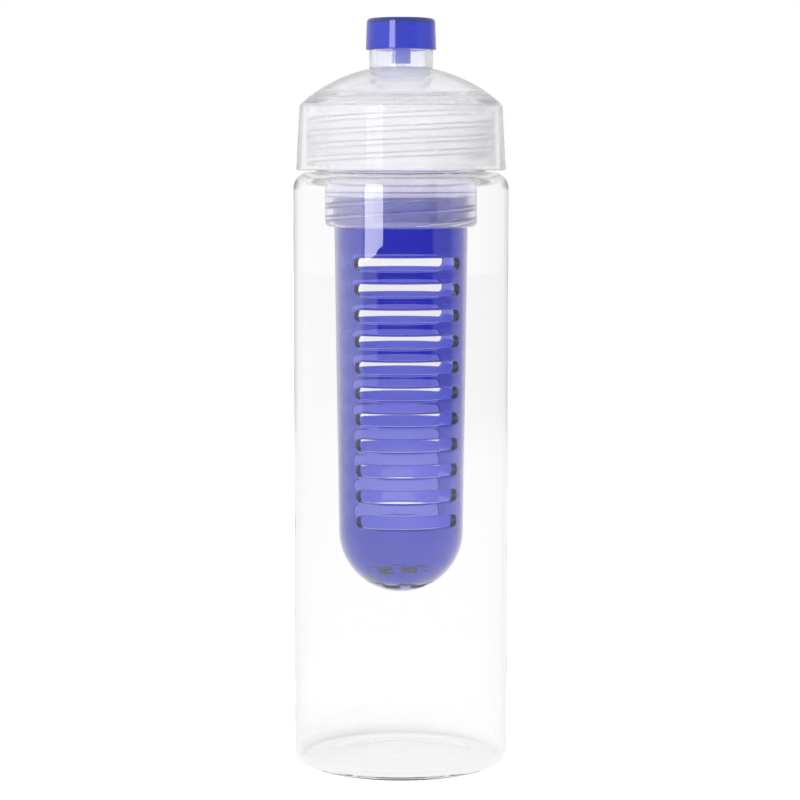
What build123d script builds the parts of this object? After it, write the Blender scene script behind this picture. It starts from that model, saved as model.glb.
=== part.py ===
from build123d import *
import os
from math import asin, degrees, radians, sqrt, tan

# A fruit infuser water bottle in its own frame, in millimetres: +Z is up and the
# origin is the middle of the flat ring that the bottle stands on. Every piece but
# the basket's slots and the spout's floor is turned about the bottle's axis.
os.makedirs("parts", exist_ok=True)

# Bottle: a blown body with a pushed-up foot, a rounded shoulder and a short neck
body_radius = 36.5
body_height = 202.3
body_wall = 1.5
floor_thickness = 2.2
foot_rounding = 4.5
foot_ring_inset = 10.5
punt_radius = 9.0
punt_rise = 2.4
punt_rounding = 12.0
shoulder_rounding = 5.4
shoulder_width = 8.1
neck_height = 20.2
neck_wall = 1.8
neck_root_rounding = 1.2
rim_rounding = 0.6

# Lid: a dome over an outer skirt and an inner skirt that carries the thread
lid_gap = 0.6
lid_setback = 1.0
lid_wall = 1.6
lid_draft = 1.9
lid_corner_rounding = 2.4
lid_foot_rounding = 0.5
dome_radius = 51.05
dome_clearance = 1.0
thread_room = 2.2
thread_skirt_wall = 1.6
thread_skirt_recess = 1.5
clamp_rib_setback = 1.0
clamp_rib_width = 1.5

# Gasket: a flat ring on the bottle's rim, round the collar
gasket_thickness = 1.2
gasket_clearance = 0.3

# Collar: a flanged ring under the lid, with a stop and a socket for the basket
collar_clearance = 0.8
collar_depth = 39.9
collar_wall = 1.8
collar_foot_rounding = 2.0
flange_thickness = 1.5
flange_clearance = 0.25
socket_wall = 2.52
socket_depth = 10.2
stop_width = 2.8
stop_thickness = 1.6

# Basket: a drafted tube with a round end, two columns of slots and four drains
basket_length = 135.1
basket_taper = 1.45
basket_wall = 2.0
basket_neck_step = 0.4
basket_neck_height = 10.0
basket_neck_chamfer = 0.6
slot_rows = 11
slot_columns = 2
slot_height = 4.1
slot_span = 103.5
slot_drop = 22.0
slot_end_margin = 4.95
slot_azimuth = 8.0
drain_length = 6.2
drain_width = 2.3
drain_ring_share = 0.5
drain_spread = 24.5

# Mouthpiece: a clear spout with a grooved waist, a funnel and a floor with a plug
spout_radius = 10.8
spout_height = 6.3
spout_wall = 2.5
groove_depth = 0.6
funnel_wall = 1.9
funnel_rounding = 2.8
funnel_margin = 0.1
inlet_radius = 6.15
inlet_wall = 1.85
spout_floor_rise = 0.3
spout_floor_thickness = 1.6
window_count = 4
window_width = 2.6
window_span = 52.0
plug_radius = 1.9
plug_overlap = 4.0
plug_chamfer = 0.4
tube_step = 0.9
tube_margin = 0.4
bead_height = 0.9
bead_proud = 0.3

# Seal: a thin washer in the spout's groove, just under the dome
seal_thickness = 0.8
seal_reach = 1.4
seal_clearance = 0.1
seal_gap = 0.2

# Cap: a push-pull cap with a snap lip and a flow sleeve over the plug
cap_overhang = 1.1
cap_headroom = 1.6
cap_draft = 2.0
cap_top_thickness = 1.6
cap_rounding = 1.4
cap_foot_rounding = 0.4
cap_lip_height = 1.0
cap_travel = 5.0
cap_travel_margin = 0.1
sleeve_wall = 1.3
sleeve_lift = 1.4

# Fits and cuts
sliding_clearance = 0.1
thread_clearance = 0.08
cut_margin = 1.0
quarter_turn = 90.0
full_turn = 360.0

# Radii that follow from the sizes above, from the bottle's wall inwards
foot_ring_radius = body_radius - foot_ring_inset
neck_radius = body_radius - shoulder_width
neck_bore = neck_radius - neck_wall
lid_radius = body_radius - lid_setback
thread_skirt_bore = neck_radius + thread_room
clamp_rib_radius = neck_radius - clamp_rib_setback
flange_radius = thread_skirt_bore - flange_clearance
collar_radius = neck_bore - collar_clearance
socket_radius = collar_radius - socket_wall
basket_neck_radius = socket_radius - thread_clearance
basket_radius = basket_neck_radius - basket_neck_step
basket_end_radius = basket_radius - basket_taper
drain_ring_radius = basket_end_radius * drain_ring_share
groove_radius = spout_radius - groove_depth
spout_bore = spout_radius - spout_wall
inlet_bore = inlet_radius - inlet_wall
tube_radius = spout_radius - tube_step
bead_radius = tube_radius + bead_proud
seal_radius = spout_radius + seal_reach
cap_radius = spout_radius + cap_overhang
cap_bore = bead_radius + sliding_clearance
plug_bore = plug_radius + sliding_clearance
sleeve_radius = plug_bore + sleeve_wall

# Heights that follow, from the neck up to the dome and down to the basket's end
rim = body_height + neck_height
flange_foot = rim + gasket_thickness
flange_top = flange_foot + flange_thickness
skirt_foot = body_height + lid_gap
dome_centre = flange_top + dome_clearance - sqrt((dome_radius - lid_wall) ** 2 - flange_radius**2)
dome_apex = dome_centre + dome_radius
collar_foot = flange_foot - collar_depth
basket_rim = collar_foot + socket_depth
basket_centre = basket_rim - basket_length + basket_end_radius
first_slot = basket_rim - slot_drop
slot_pitch = (first_slot - basket_centre - slot_end_margin) / (slot_rows - 1)


def dome_at(radius, inset=0):
    """Height of the dome, or of its underside where an inset is given, at a radius."""
    return dome_centre + sqrt((dome_radius - inset) ** 2 - radius**2)


# Heights of the spout and its cap, from the dome
spout_root = dome_at(spout_radius)
seal_top = dome_at(seal_radius, lid_wall) - seal_gap
seal_foot = seal_top - seal_thickness
funnel_top = seal_foot - funnel_rounding * tan(radians(quarter_turn / 4)) - funnel_margin
inlet_foot = funnel_top - (spout_radius - inlet_radius)
cap_seat = spout_root + spout_height
bead_foot = cap_seat + cap_lip_height + cap_travel + cap_travel_margin
bead_top = bead_foot + bead_height
tube_top = bead_top + tube_margin
cap_ceiling = tube_top + cap_headroom
cap_top = cap_ceiling + cap_top_thickness
spout_floor = spout_root + spout_floor_rise
sleeve_foot = spout_floor + sleeve_lift
plug_top = sleeve_foot + plug_overlap


def outline(*corners):
    """A closed section in the plane of radius and height, from (radius, height, rounding) corners."""
    points = [(radius, height) for radius, height, _ in corners]
    roundings = [rounding for _, _, rounding in corners]
    return make_face(FilletPolyline(*points, radius=roundings, close=True))


def band(inner, outer, foot, top):
    """The section of a plain ring."""
    return outline((inner, foot, 0), (outer, foot, 0), (outer, top, 0), (inner, top, 0))


def rounded(section, radius, height, rounding):
    """A section with the corner nearest to a place rounded."""
    corner = section.vertices().sort_by_distance((radius, height))[0]
    return fillet(corner, rounding)


def turned(section, angle=full_turn):
    """A section turned about the bottle's axis."""
    return revolve(Plane.XZ * section, Axis.Z, revolution_arc=angle)


def bottle_body():
    """The blown bottle, one wall from the foot's middle to the rim and back inside."""
    inner_radius = body_radius - body_wall
    inner_shoulder = body_height - body_wall
    return turned(
        outline(
            (0, punt_rise, 0),
            (punt_radius, punt_rise, punt_rounding),
            (foot_ring_radius, 0, punt_rounding),
            (body_radius, 0, foot_rounding),
            (body_radius, body_height, shoulder_rounding),
            (neck_radius, body_height, neck_root_rounding),
            (neck_radius, rim, rim_rounding),
            (neck_bore, rim, rim_rounding),
            (neck_bore, inner_shoulder, neck_root_rounding),
            (inner_radius, inner_shoulder, shoulder_rounding - body_wall),
            (inner_radius, floor_thickness, foot_rounding - body_wall),
            (foot_ring_radius, floor_thickness, punt_rounding),
            (punt_radius, punt_rise + floor_thickness, punt_rounding),
            (0, punt_rise + floor_thickness, 0),
        )
    )


def lid_space(inset):
    """The section under the lid's outside, drawn in by an inset."""
    drawn_in = (dome_apex - skirt_foot) * tan(radians(lid_draft))
    skirt = outline(
        (0, skirt_foot, 0),
        (lid_radius - inset, skirt_foot, 0),
        (lid_radius - drawn_in - inset, dome_apex, 0),
        (0, dome_apex, 0),
    )
    space = skirt & (Pos(0, dome_centre) * Circle(dome_radius - inset))
    corner_radius = lid_radius - drawn_in
    return rounded(space, corner_radius, dome_at(corner_radius), lid_corner_rounding - inset)


def lid_shell():
    """The domed shell with its thread skirt and the rib that clamps the collar's flange."""
    outside = lid_space(0)
    thread_skirt = band(
        thread_skirt_bore,
        thread_skirt_bore + thread_skirt_wall,
        skirt_foot + thread_skirt_recess,
        dome_apex,
    )
    clamp_rib = band(clamp_rib_radius, clamp_rib_radius + clamp_rib_width, flange_top, dome_apex)
    spout_hole = band(0, groove_radius + sliding_clearance, flange_top, dome_apex + cut_margin)
    shell = outside - lid_space(lid_wall) + (outside & thread_skirt) + (outside & clamp_rib)
    shell = rounded(shell - spout_hole, lid_radius, skirt_foot, lid_foot_rounding)
    return turned(shell)


def lid_gasket():
    """The flat sealing ring between the bottle's rim and the collar's flange."""
    return turned(band(collar_radius + gasket_clearance, neck_radius, rim, flange_foot))


def infuser_collar():
    """The flanged ring: its bore narrows to a stop above the socket for the basket."""
    bore = collar_radius - collar_wall
    stop_radius = bore - stop_width
    return turned(
        outline(
            (socket_radius, collar_foot, 0),
            (collar_radius, collar_foot, collar_foot_rounding),
            (collar_radius, flange_foot, 0),
            (flange_radius, flange_foot, 0),
            (flange_radius, flange_top, 0),
            (bore, flange_top, 0),
            (bore, basket_rim + stop_thickness, 0),
            (stop_radius, basket_rim + stop_thickness, 0),
            (stop_radius, basket_rim, 0),
            (socket_radius, basket_rim, 0),
        )
    )


def basket_space(inset, top):
    """The section of the basket's outside, or of its inside where an inset is given."""
    tube = outline(
        (0, basket_centre, 0),
        (basket_end_radius - inset, basket_centre, 0),
        (basket_radius - inset, basket_rim, 0),
        (0, top, 0),
    )
    if top > basket_rim:
        tube = tube + band(0, basket_radius - inset, basket_rim, top)
    half_disc = band(0, basket_end_radius, basket_centre - basket_end_radius, basket_centre)
    return tube + (half_disc & (Pos(0, basket_centre) * Circle(basket_end_radius - inset)))


def slot_cutter():
    """One curved slot with round ends, centred on +X at height 0."""
    inner = basket_end_radius - basket_wall - cut_margin
    outer = basket_neck_radius + cut_margin
    half_height = slot_height / 2
    end_angle = degrees(asin(half_height / basket_radius))
    arc = slot_span - 2 * end_angle
    cutter = Rot(0, 0, -arc / 2) * turned(band(inner, outer, -half_height, half_height), arc)
    for side in (-1, 1):
        pin = Rot(0, quarter_turn, 0) * Cylinder(half_height, outer, align=(Align.CENTER, Align.CENTER, Align.MIN))
        tip = Rot(0, 0, side * arc / 2) * (pin - turned(band(0, inner, -slot_height, slot_height)))
        cutter = cutter + tip
    return cutter


def drain_cutter():
    """One drain slot through the round end, on +X, its length across the radius."""
    slot = Pos(drain_ring_radius, 0) * SlotOverall(drain_length, drain_width, rotation=quarter_turn)
    return Pos(0, 0, basket_centre - basket_end_radius - cut_margin) * extrude(slot, basket_end_radius)


def infuser():
    """The basket: a round-ended tube with a neck band, slotted on two sides."""
    neck = outline(
        (basket_radius - basket_wall, basket_rim - basket_neck_height, 0),
        (basket_neck_radius - basket_neck_chamfer, basket_rim - basket_neck_height, 0),
        (basket_neck_radius, basket_rim - basket_neck_height + basket_neck_chamfer, 0),
        (basket_neck_radius, basket_rim, 0),
        (basket_radius - basket_wall, basket_rim, 0),
    )
    wall = basket_space(0, basket_rim) + neck
    basket = turned(wall - basket_space(basket_wall, basket_rim + cut_margin))
    slot = slot_cutter()
    drain = drain_cutter()
    cutters = []
    for column in range(slot_columns):
        azimuth = slot_azimuth - quarter_turn + column * full_turn / slot_columns
        for row in range(slot_rows):
            height = first_slot - row * slot_pitch
            cutters.append(Pos(0, 0, height) * Rot(0, 0, azimuth) * slot)
        for side in (-1, 1):
            cutters.append(Rot(0, 0, azimuth + side * drain_spread) * drain)
    return basket - cutters


def window_cutter():
    """One kidney-shaped window through the spout's floor, centred on +X."""
    middle = (plug_radius + spout_bore) / 2
    half_width = window_width / 2
    top = spout_floor + cut_margin
    foot = spout_floor - spout_floor_thickness - cut_margin
    ring = turned(band(middle - half_width, middle + half_width, foot, top), window_span)
    cutter = Rot(0, 0, -window_span / 2) * ring
    for side in (-1, 1):
        end = Pos(middle, 0, foot) * Cylinder(half_width, top - foot, align=(Align.CENTER, Align.CENTER, Align.MIN))
        cutter = cutter + Rot(0, 0, side * window_span / 2) * end
    return cutter


def mouthpiece():
    """The clear spout: inlet and funnel, grooved waist, drinking tube, floor and plug."""
    inner_drop = funnel_wall * sqrt(2)
    inner_funnel_foot = inlet_foot + inlet_bore - inlet_radius + inner_drop
    inner_funnel_top = inlet_foot + spout_bore - inlet_radius + inner_drop
    wall = outline(
        (inlet_bore, inlet_foot, 0),
        (inlet_radius, inlet_foot, 0),
        (spout_radius, funnel_top, funnel_rounding),
        (spout_radius, seal_foot, 0),
        (groove_radius, seal_foot, 0),
        (groove_radius, dome_at(groove_radius), 0),
        (spout_radius, dome_at(groove_radius), 0),
        (spout_radius, cap_seat, 0),
        (tube_radius, cap_seat, 0),
        (tube_radius, bead_foot, 0),
        (bead_radius, bead_foot + bead_proud, 0),
        (bead_radius, bead_top - bead_proud, 0),
        (tube_radius, bead_top, 0),
        (tube_radius, tube_top, 0),
        (spout_bore, tube_top, 0),
        (spout_bore, inner_funnel_top, funnel_rounding / 2),
        (inlet_bore, inner_funnel_foot, 0),
    )
    floor = band(0, spout_bore + spout_wall / 2, spout_floor - spout_floor_thickness, spout_floor)
    plug = outline(
        (0, spout_floor - spout_floor_thickness, 0),
        (plug_radius, spout_floor - spout_floor_thickness, 0),
        (plug_radius, plug_top, plug_chamfer),
        (0, plug_top, 0),
    )
    spout = turned(wall) + turned(floor) + turned(plug)
    window = window_cutter()
    return spout - [Rot(0, 0, n * full_turn / window_count) * window for n in range(window_count)]


def spout_seal():
    """The washer under the dome, in the spout's groove."""
    return turned(band(groove_radius + seal_clearance, seal_radius, seal_foot, seal_top))


def push_pull_cap():
    """The cap: a drafted cup with a snap lip at its foot and a flow sleeve through its top."""
    drawn_in = (cap_top - cap_seat) * tan(radians(cap_draft))
    return turned(
        outline(
            (tube_radius + sliding_clearance, cap_seat, 0),
            (cap_radius, cap_seat, cap_foot_rounding),
            (cap_radius - drawn_in, cap_top, cap_rounding),
            (plug_bore, cap_top, cap_foot_rounding),
            (plug_bore, sleeve_foot, 0),
            (sleeve_radius, sleeve_foot, 0),
            (sleeve_radius, cap_ceiling, 0),
            (cap_bore, cap_ceiling, 0),
            (cap_bore, cap_seat + cap_lip_height, 0),
            (tube_radius + sliding_clearance, cap_seat + cap_lip_height, 0),
        )
    )


export_step(bottle_body(), "parts/bottle_body.step")
export_step(lid_shell(), "parts/lid_shell.step")
export_step(lid_gasket(), "parts/lid_gasket.step")
export_step(infuser_collar(), "parts/infuser_collar.step")
export_step(infuser(), "parts/infuser.step")
export_step(mouthpiece(), "parts/mouthpiece.step")
export_step(spout_seal(), "parts/spout_seal.step")
export_step(push_pull_cap(), "parts/push_pull_cap.step")
print("basket rim", round(basket_rim, 2), "cap top", round(cap_top, 2), "cap seat", round(cap_seat, 2))
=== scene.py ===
import math

import bmesh
import bpy
import numpy as np
from mathutils import Matrix, Vector


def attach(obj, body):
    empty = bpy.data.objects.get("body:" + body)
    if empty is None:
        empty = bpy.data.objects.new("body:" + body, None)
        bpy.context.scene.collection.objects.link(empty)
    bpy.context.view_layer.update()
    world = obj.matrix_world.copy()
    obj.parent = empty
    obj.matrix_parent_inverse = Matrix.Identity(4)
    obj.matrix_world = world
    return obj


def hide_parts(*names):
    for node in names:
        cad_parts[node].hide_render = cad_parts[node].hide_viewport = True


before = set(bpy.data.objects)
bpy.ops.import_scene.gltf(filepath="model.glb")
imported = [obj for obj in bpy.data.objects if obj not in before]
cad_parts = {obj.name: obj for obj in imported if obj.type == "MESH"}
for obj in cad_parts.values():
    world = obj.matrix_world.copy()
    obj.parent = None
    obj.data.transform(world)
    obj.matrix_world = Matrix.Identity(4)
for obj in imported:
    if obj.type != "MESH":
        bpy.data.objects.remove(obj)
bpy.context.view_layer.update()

# Camera: it stands a little above the bottle's shoulder and looks down at the
# middle of the bottle, with a long lens that keeps the two sides nearly parallel.
mm = 0.001
camera_place = (-0.34 * mm, -885.3 * mm, 204.7 * mm)
camera_tilt = 5.165
camera_lens = 117.0
sensor_width = 36.0
clear_bounces = 40
mirror_bounces = 12
diffuse_bounces = 3
scene = bpy.context.scene


def placed(name, data):
    """An object of the data given, in the scene."""
    made = bpy.data.objects.new(name, data)
    scene.collection.objects.link(made)
    return made


camera_data = bpy.data.cameras.new("catalogue_camera")
camera_data.lens = camera_lens
camera_data.sensor_width = sensor_width
camera = placed("catalogue_camera", camera_data)
camera.location = camera_place
camera.rotation_euler = (math.radians(90 - camera_tilt), 0, 0)
scene.camera = camera
scene.view_settings.view_transform = "Standard"
scene.cycles.max_bounces = clear_bounces
scene.cycles.transmission_bounces = clear_bounces
scene.cycles.transparent_max_bounces = clear_bounces
scene.cycles.glossy_bounces = mirror_bounces
scene.cycles.diffuse_bounces = diffuse_bounces
scene.cycles.caustics_refractive = False


# Room: a white backdrop, a bright wall on the left, a dim one on the right and a
# dark space in front, which the plastic mirrors as the photographed bottle does.
front_light = 0.05
left_light = 1.0
right_light = 0.55
left_wall_starts = (39.0, 43.0)
right_wall_starts = (54.0, 58.0)
back_wall_starts = (100.0, 160.0)
dim_back_starts = (140.0, 165.0)
dim_back = 0.7
ceiling_slopes = (0.55, 0.92)
ceiling_share = 0.35
backdrop_edge = (0.5, 0.85)
backdrop_top = (0.4, 0.8)
plain_span = (-0.8, 0.8)
plain_light = (0.6, 1.5)
first_bounce = 0.5
deep_walls = 4.5


def wire(tree, value, socket):
    """Fills a node's input with a number, or with another node's output."""
    if isinstance(value, bpy.types.NodeSocket):
        tree.links.new(value, socket)
    elif value is not None:
        socket.default_value = value


def put(tree, kind, options=None, inputs=None):
    """Adds a node with its options, fills its inputs by name or number and gives its outputs."""
    made = tree.nodes.new(kind)
    for name, value in (options or {}).items():
        setattr(made, name, value)
    for name, value in (inputs or {}).items():
        wire(tree, value, made.inputs[name])
    return made.outputs


def calc(tree, operation, *values):
    """The result of a Math node."""
    made = tree.nodes.new("ShaderNodeMath")
    made.operation = operation
    for value, socket in zip(values, made.inputs):
        wire(tree, value, socket)
    return made.outputs[0]


def times(tree, first, second):
    """The product of two numbers."""
    return calc(tree, "MULTIPLY", first, second)


def ramp(tree, value, start, end, low=0.0, high=1.0):
    """A number that goes smoothly from low to high as the value goes from start to end."""
    made = tree.nodes.new("ShaderNodeMapRange")
    made.interpolation_type = "SMOOTHSTEP"
    for socket, filling in zip(made.inputs, (value, start, end, low, high)):
        wire(tree, filling, socket)
    return made.outputs[0]


def blend(tree, share, low, high):
    """A number between two others: the first at share 0 and the second at share 1."""
    return put(tree, "ShaderNodeMix", {"data_type": "FLOAT"}, {0: share, 2: low, 3: high})[0]


def split(tree, vector):
    """The three numbers of a vector."""
    return put(tree, "ShaderNodeSeparateXYZ", inputs={0: vector})


def cleared_tree(owner):
    """The empty node tree of a world or a material."""
    owner.use_nodes = True
    owner.node_tree.nodes.clear()
    return owner.node_tree


def room_light():
    """A group that says how bright the room is in a direction."""
    group = bpy.data.node_groups.new("room light", "ShaderNodeTree")
    group.interface.new_socket("Direction", in_out="INPUT", socket_type="NodeSocketVector")
    group.interface.new_socket("Brightness", in_out="OUTPUT", socket_type="NodeSocketFloat")
    given = put(group, "NodeGroupInput")
    unit = put(group, "ShaderNodeVectorMath", {"operation": "NORMALIZE"}, {0: given[0]})
    rightwards, backwards, upwards = split(group, unit[0])
    to_left = times(group, rightwards, -1)
    to_front = times(group, backwards, -1)
    azimuth = times(group, calc(group, "ARCTAN2", to_left, to_front), math.degrees(1))
    other_way = times(group, azimuth, -1)
    left = ramp(group, azimuth, *left_wall_starts, 0, left_light - front_light)
    right = ramp(group, other_way, *right_wall_starts, 0, right_light - front_light)
    back = ramp(group, other_way, *back_wall_starts, 0, left_light - right_light)
    sides = calc(group, "ADD", left, right)
    walls = calc(group, "ADD", sides, calc(group, "ADD", back, front_light))
    straight_back = ramp(group, calc(group, "ABSOLUTE", azimuth), *dim_back_starts, 1, dim_back)
    walls = times(group, walls, straight_back)
    ceiling = ramp(group, upwards, *ceiling_slopes, 1, ceiling_share)
    put(group, "NodeGroupOutput", inputs={0: times(group, walls, ceiling)})
    return group


room_group = room_light()
world = bpy.data.worlds.new("studio")
tree = cleared_tree(world)
direction = put(tree, "ShaderNodeTexCoord")["Generated"]
room = put(tree, "ShaderNodeGroup", {"node_tree": room_group}, {0: direction})[0]
rightwards, backwards, upwards = split(tree, direction)
path = put(tree, "ShaderNodeLightPath")
undiffused = calc(tree, "LESS_THAN", path["Diffuse Depth"], first_bounce)
mirrors = calc(tree, "MAXIMUM", path["Is Glossy Ray"], path["Is Transmission Ray"])
mirrors = times(tree, mirrors, undiffused)
plain = ramp(tree, rightwards, *plain_span, *plain_light)

# The backdrop is what shows through clear walls: without a reflection on the way,
# or from so deep inside that the reflection has no direction left.
unmirrored = calc(tree, "LESS_THAN", path["Glossy Depth"], first_bounce)
deep = calc(tree, "GREATER_THAN", path["Transmission Depth"], deep_walls)
through = times(tree, calc(tree, "MAXIMUM", unmirrored, deep), path["Is Transmission Ray"])
through = times(tree, through, undiffused)
behind_it = ramp(tree, calc(tree, "ABSOLUTE", backwards), *backdrop_edge)
backdrop = times(tree, blend(tree, behind_it, room, 1.0),
                 ramp(tree, upwards, *backdrop_top, 1, ceiling_share))
behind = blend(tree, through, blend(tree, mirrors, plain, room), backdrop)
shown = blend(tree, path["Is Camera Ray"], behind, 1.0)
light = put(tree, "ShaderNodeBackground", inputs={"Color": (1, 1, 1, 1), "Strength": shown})
put(tree, "ShaderNodeOutputWorld", inputs={0: light[0]})
scene.world = world


# Table: a white sheet under the bottle, dark past its front edge. It keeps part of the bottle's
# soft shadow, but near and under the bottle its glow is raised: a painted pool of light.
table_half = 4.0
table_glow = 0.32
table_whiter = 0.23
# Painted light: extra glow near and under the bottle, which lifts its shadow on the table.
painted_near_light = 0.06
painted_near_edge = (0.25, 0.05)
painted_under_light = 0.45
painted_under_edge = (0.037, 0.031)
table_white = 0.6
table_near = 0.92
table_edge = (0.85, 1.4)


def glowing(tree, strength):
    """A white glow of a strength."""
    return put(tree, "ShaderNodeEmission", inputs={"Strength": strength})[0]


def mixed(tree, share, first, second):
    """A shader between two others: the first at share 0 and the second at share 1."""
    return put(tree, "ShaderNodeMixShader", inputs={0: share, 1: first, 2: second})[0]


def plain_mesh(name, places, faces, edges=()):
    """A mesh of places with faces, edges or both."""
    mesh = bpy.data.meshes.new(name)
    mesh.from_pydata(places, edges, faces)
    return mesh


table_corners = ((-1, -1), (1, -1), (1, 1), (-1, 1))
floor_mesh = plain_mesh("table", [(x * table_half, y * table_half, 0) for x, y in table_corners],
                        [(0, 1, 2, 3)])
floor = placed("table", floor_mesh)
paper = bpy.data.materials.new("white table")
tree = cleared_tree(paper)
place = put(tree, "ShaderNodeTexCoord")["Object"]
room = put(tree, "ShaderNodeGroup", {"node_tree": room_group}, {0: place})[0]
distance = put(tree, "ShaderNodeVectorMath", {"operation": "LENGTH"}, {0: place})["Value"]
path = put(tree, "ShaderNodeLightPath")
shallow = calc(tree, "LESS_THAN", path["Transmission Depth"], deep_walls)
mirrored = calc(tree, "GREATER_THAN", path["Glossy Depth"], first_bounce)
by_mirror = times(tree, mirrored, shallow)
mirror_glow = glowing(tree, blend(tree, ramp(tree, distance, *table_edge), table_near, room))
lit = put(tree, "ShaderNodeBsdfDiffuse",
          inputs={"Color": (table_white, table_white, table_white, 1)})
seen_glow = times(tree, path["Is Camera Ray"], table_whiter)
# The glow rises near and under the bottle: a painted pool of light over the bottle's shadow.
glow_with_near_paint = calc(tree, "ADD", ramp(tree, distance, *painted_near_edge, 0, painted_near_light), table_glow)
glow_with_painted_pools = calc(tree, "ADD", ramp(tree, distance, *painted_under_edge, 0, painted_under_light), glow_with_near_paint)
glow = glowing(tree, calc(tree, "ADD", seen_glow, glow_with_painted_pools))
both = put(tree, "ShaderNodeAddShader", inputs={0: lit[0], 1: glow})
sheet = mixed(tree, by_mirror, both[0], mirror_glow)
sheet = mixed(tree, path["Is Diffuse Ray"], sheet, glowing(tree, 0.0))
put(tree, "ShaderNodeOutputMaterial", inputs={0: sheet})
paper.cycles.emission_sampling = "NONE"
floor_mesh.materials.append(paper)


# Lamps: one tall softbox in front on the left, whose upright band shows in every
# round wall, and the light that the white table sends up into the bottle.
softbox_azimuth = 29.0
softbox_distance = 1.2
softbox_size = (0.41, 0.75)
softbox_foot = 0.135
softbox_radiance = 9.5
softbox_roll = 2.0
table_light_size = (2.4, 2.4)
table_light_height = 0.5
table_light = 0.85


def area_lamp(name, place, target, size, radiance, roll=0.0):
    """A rectangular lamp at a place, turned to a target, of a given brightness to the eye."""
    data = bpy.data.lights.new(name, "AREA")
    data.shape = "RECTANGLE"
    data.size = size[0]
    data.size_y = size[1]
    data.energy = radiance * math.pi * size[0] * size[1]
    lamp = placed(name, data)
    lamp.location = place
    aim = (Vector(target) - Vector(place)).to_track_quat("-Z", "Y")
    lamp.rotation_mode = "QUATERNION"
    lamp.rotation_quaternion = aim @ Matrix.Rotation(math.radians(roll), 3, "Z").to_quaternion()
    lamp.visible_camera = False
    lamp.visible_transmission = False
    return lamp


softbox_angle = math.radians(softbox_azimuth)
softbox_middle = softbox_foot + softbox_size[1] / 2
area_lamp("softbox",
          (-math.sin(softbox_angle) * softbox_distance,
           -math.cos(softbox_angle) * softbox_distance, softbox_middle),
          (0, 0, softbox_middle), softbox_size, softbox_radiance, softbox_roll)
bounce = area_lamp("table_light", (0, 0, table_light_height * mm), (0, 0, 1), table_light_size,
                   table_light)
bounce.visible_glossy = False


# Bottle body: a blown bottle of clear plastic with a pushed-up foot, a rounded
# shoulder and a short neck with a two-start thread for the lid.
round_pieces = 240
body_radius = 36.5
body_height = 202.3
body_wall = 1.5
floor_thickness = 2.2
punt_radius = 9.0
punt_rise = 2.4
punt_rounding = 50.0
foot_ring_radius = 26.0
foot_ring_rounding = 30.0
foot_rounding = 4.5
shoulder_rounding = 5.4
inner_shoulder_rounding = 4.4
neck_root_rounding = 1.2
neck_radius = 28.4
neck_wall = 1.8
rim_height = 222.5
rim_rounding = 0.6
neck_run = 5
fine_arc = 7.5
lid_lead = 8.6
lid_pitch = 4.3
neck_thread = {"Crest Height": 214.65, "Foot": 206.6, "Top": 219.6, "Lead": lid_lead,
               "Pitch": lid_pitch, "Depth": 1.75, "Crest": 0.9, "Flank": 0.75, "Run": 1.3}
thread_inputs = ("Crest Height", "Foot", "Top", "Lead", "Pitch", "Depth", "Crest", "Flank", "Run")
no_thread = dict.fromkeys(thread_inputs, 1.0)
merge_distance = 0.002
support_share = 0.3
ripple_detail = 2.0
grain_detail = 3.0
grain_depth = 0.1
haze_span = (0.35, 0.65)
haze_range = (0.7, 1.3)


def thread_ridge():
    """A group that says how high a screw thread stands at an angle and a height."""
    group = bpy.data.node_groups.new("thread ridge", "GeometryNodeTree")
    for name in ("Angle", "Height", *thread_inputs):
        group.interface.new_socket(name, in_out="INPUT", socket_type="NodeSocketFloat")
    group.interface.new_socket("Ridge", in_out="OUTPUT", socket_type="NodeSocketFloat")
    given = put(group, "NodeGroupInput")
    above = calc(group, "SUBTRACT", given["Height"], given["Crest Height"])
    above = calc(group, "DIVIDE", above, given["Pitch"])
    from_front = calc(group, "ADD", given["Angle"], math.pi / 2)
    starts = calc(group, "DIVIDE", given["Lead"], given["Pitch"])
    climbed = calc(group, "DIVIDE", times(group, from_front, starts), 2 * math.pi)
    turns = calc(group, "SUBTRACT", above, climbed)
    off_crest = calc(group, "SUBTRACT", turns, calc(group, "ROUND", turns))
    aside = times(group, off_crest, given["Pitch"])
    middle = calc(group, "SUBTRACT", given["Height"], aside)
    half_crest = calc(group, "DIVIDE", given["Crest"], 2)
    half_foot = calc(group, "ADD", half_crest, given["Flank"])
    shape = ramp(group, calc(group, "ABSOLUTE", aside), half_foot, half_crest)
    start = ramp(group, middle, given["Foot"], calc(group, "ADD", given["Foot"], given["Run"]))
    end = ramp(group, middle, given["Top"], calc(group, "SUBTRACT", given["Top"], given["Run"]))
    shape = times(group, shape, times(group, start, end))
    put(group, "NodeGroupOutput", inputs={0: times(group, shape, given["Depth"])})
    return group


thread_group = thread_ridge()


def add_ridge(tree, given, angle, height, carried):
    """The height of the thread where a wall carries one, in a tree that has the thread's inputs."""
    inputs = {"Angle": angle, "Height": height, **{name: given[name] for name in thread_inputs}}
    ridge = put(tree, "GeometryNodeGroup", {"node_tree": thread_group}, inputs)[0]
    return times(tree, ridge, carried)


def new_tree(name, more_inputs):
    """A tree that takes a mesh, the sizes named and a material, and gives a mesh."""
    tree = bpy.data.node_groups.new(name, "GeometryNodeTree")
    tree.interface.new_socket("Geometry", in_out="INPUT", socket_type="NodeSocketGeometry")
    for title, kind in more_inputs + [(title, "NodeSocketFloat") for title in thread_inputs]:
        tree.interface.new_socket(title, in_out="INPUT", socket_type=kind)
    tree.interface.new_socket("Material", in_out="INPUT", socket_type="NodeSocketMaterial")
    tree.interface.new_socket("Geometry", in_out="OUTPUT", socket_type="NodeSocketGeometry")
    return tree


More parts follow.
